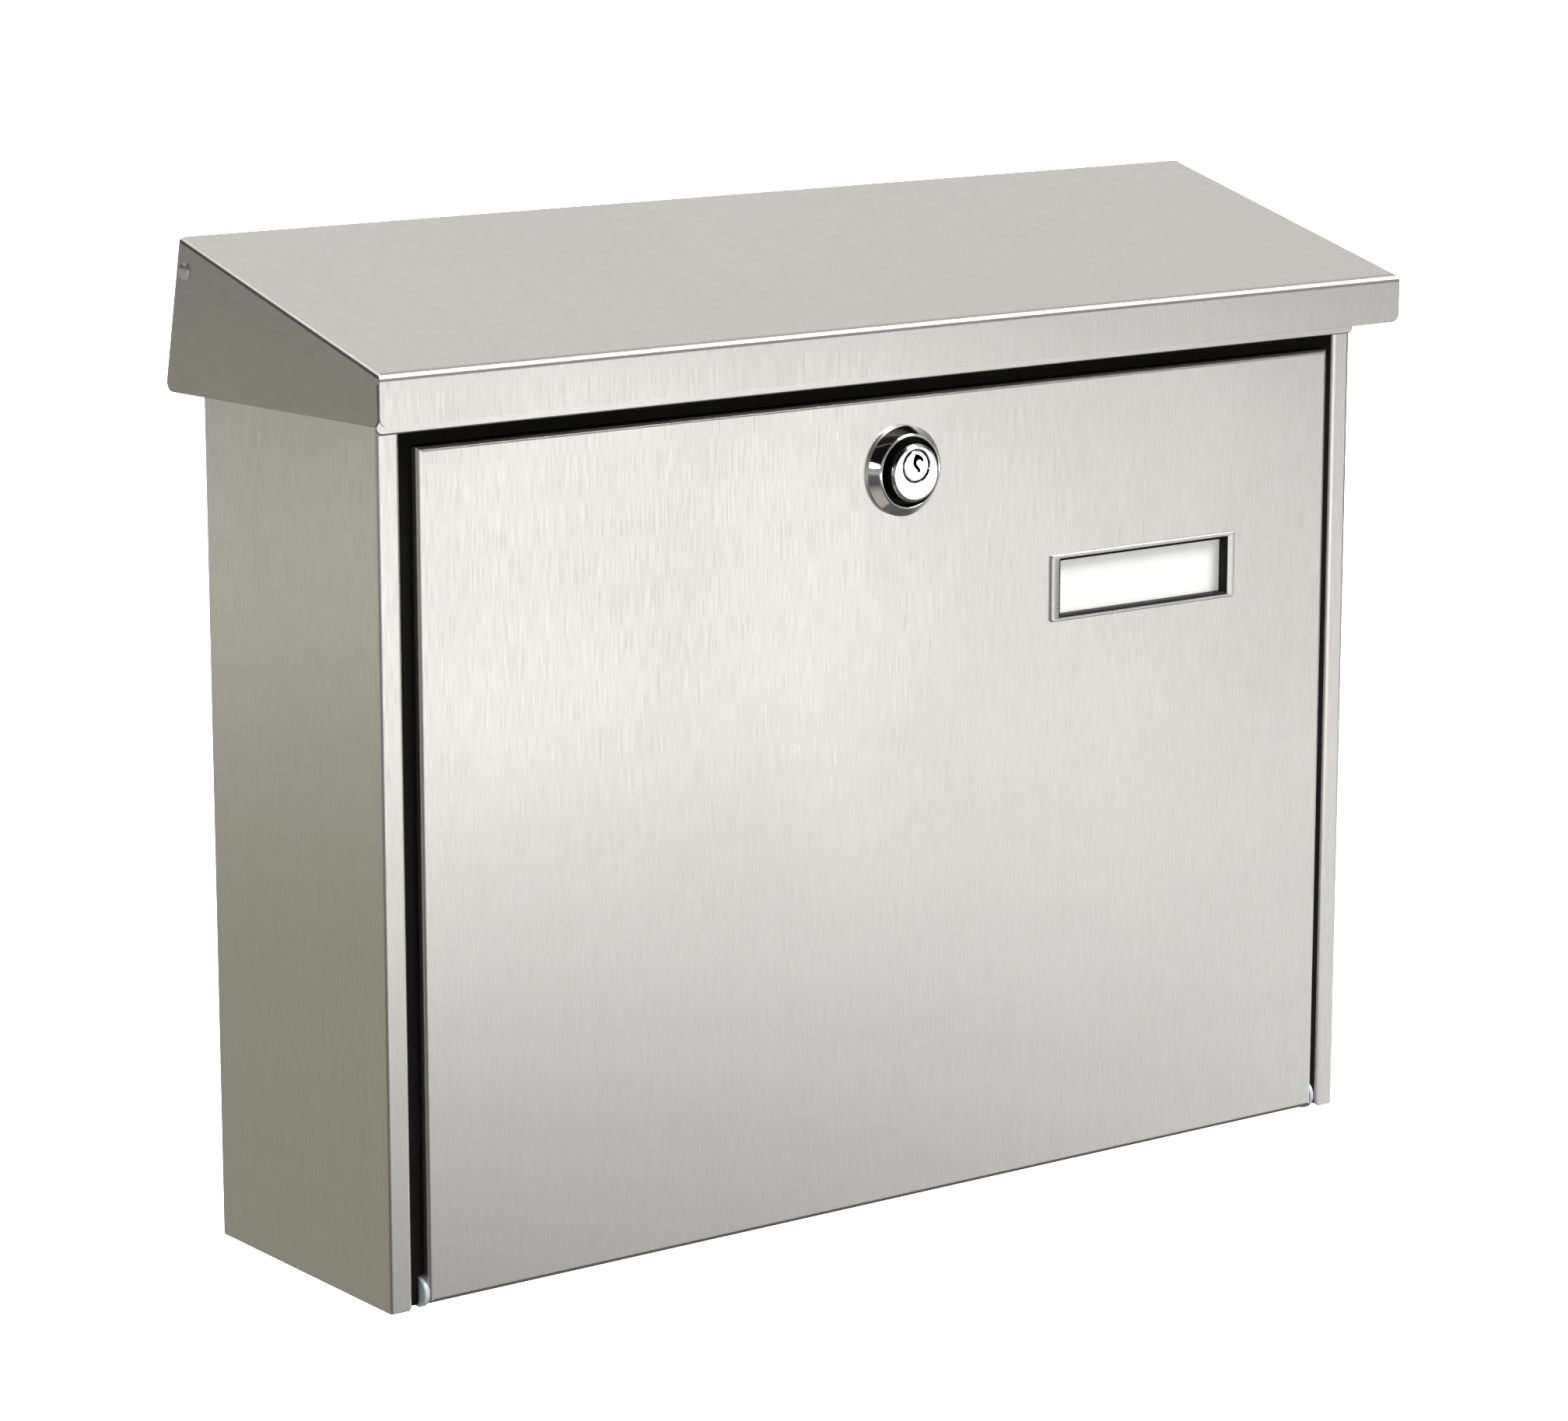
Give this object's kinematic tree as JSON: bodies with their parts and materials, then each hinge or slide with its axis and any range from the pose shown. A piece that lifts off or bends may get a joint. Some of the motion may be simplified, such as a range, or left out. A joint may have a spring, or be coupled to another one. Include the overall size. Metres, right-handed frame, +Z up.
{
  "type": "wall mounted mailbox",
  "caption": "Stainless steel wall mailbox with a sloping lift-up lid over the letter slot, a fold-down locking front door and a name window.",
  "frame": {"origin": "centre of the four wall-screw holes, on the wall plane (the spacers' rear faces)", "axes": "+X to the right seen from the front, +Y into the wall, +Z up"},
  "size_m": [0.4042, 0.1266, 0.3202],
  "materials": {
    "brushed_stainless": "fine vertical brushed grain",
    "zinc_steel": "bright zinc plate",
    "bright_steel": "polished rivet head",
    "black_seal": "matt cellular rubber",
    "white_nylon": "unfilled nylon",
    "grey_plastic": "moulded, fine texture",
    "silver_bezel": "clear-silver moulded bezel",
    "clear_pane": "clear acrylic",
    "white_card": "plain white card",
    "chrome_lock": "polished nickel-chrome"
  },
  "bodies": {
    "housing": {"housing_wrap": "brushed_stainless", "floor_panel": "brushed_stainless", "inlet_panel": "brushed_stainless", "strike_plate": "zinc_steel", "door_seal": "black_seal", "hinge_pin_left": "zinc_steel", "hinge_pin_right": "zinc_steel", "wall_spacers": "grey_plastic", "lid_bush_left": "white_nylon", "lid_bush_right": "white_nylon"},
    "lid": {"lid_hood": "brushed_stainless", "lid_pin_left": "bright_steel", "lid_pin_right": "bright_steel", "lid_clip_left": "zinc_steel", "lid_clip_right": "zinc_steel", "lid_buffer_left": "black_seal", "lid_buffer_right": "black_seal"},
    "door": {"door_panel": "brushed_stainless", "hinge_bush_left": "white_nylon", "hinge_bush_right": "white_nylon", "name_frame": "silver_bezel", "name_pane": "clear_pane", "name_card": "white_card", "name_holder": "grey_plastic", "lock_rosette": "chrome_lock", "lock_barrel": "chrome_lock", "lock_nut": "zinc_steel"},
    "lock_cylinder": {"lock_plug": "chrome_lock", "lock_cam": "zinc_steel", "cam_screw": "zinc_steel"}
  },
  "joints": [
    {"name": "lid_hinge", "type": "hinge", "parent": "housing", "child": "lid", "pos_m": [0, -0.0149, 0.1646], "axis": [1, 0, 0], "range_deg": [-105, 0]},
    {"name": "door_hinge", "type": "hinge", "parent": "housing", "child": "door", "pos_m": [0, -0.1088, -0.1402], "axis": [1, 0, 0], "range_deg": [0, 95]},
    {"name": "lock_turn", "type": "hinge", "parent": "door", "child": "lock_cylinder", "pos_m": [0, -0.1141, 0.0991], "axis": [0, 1, 0], "range_deg": [0, 90]}
  ]
}
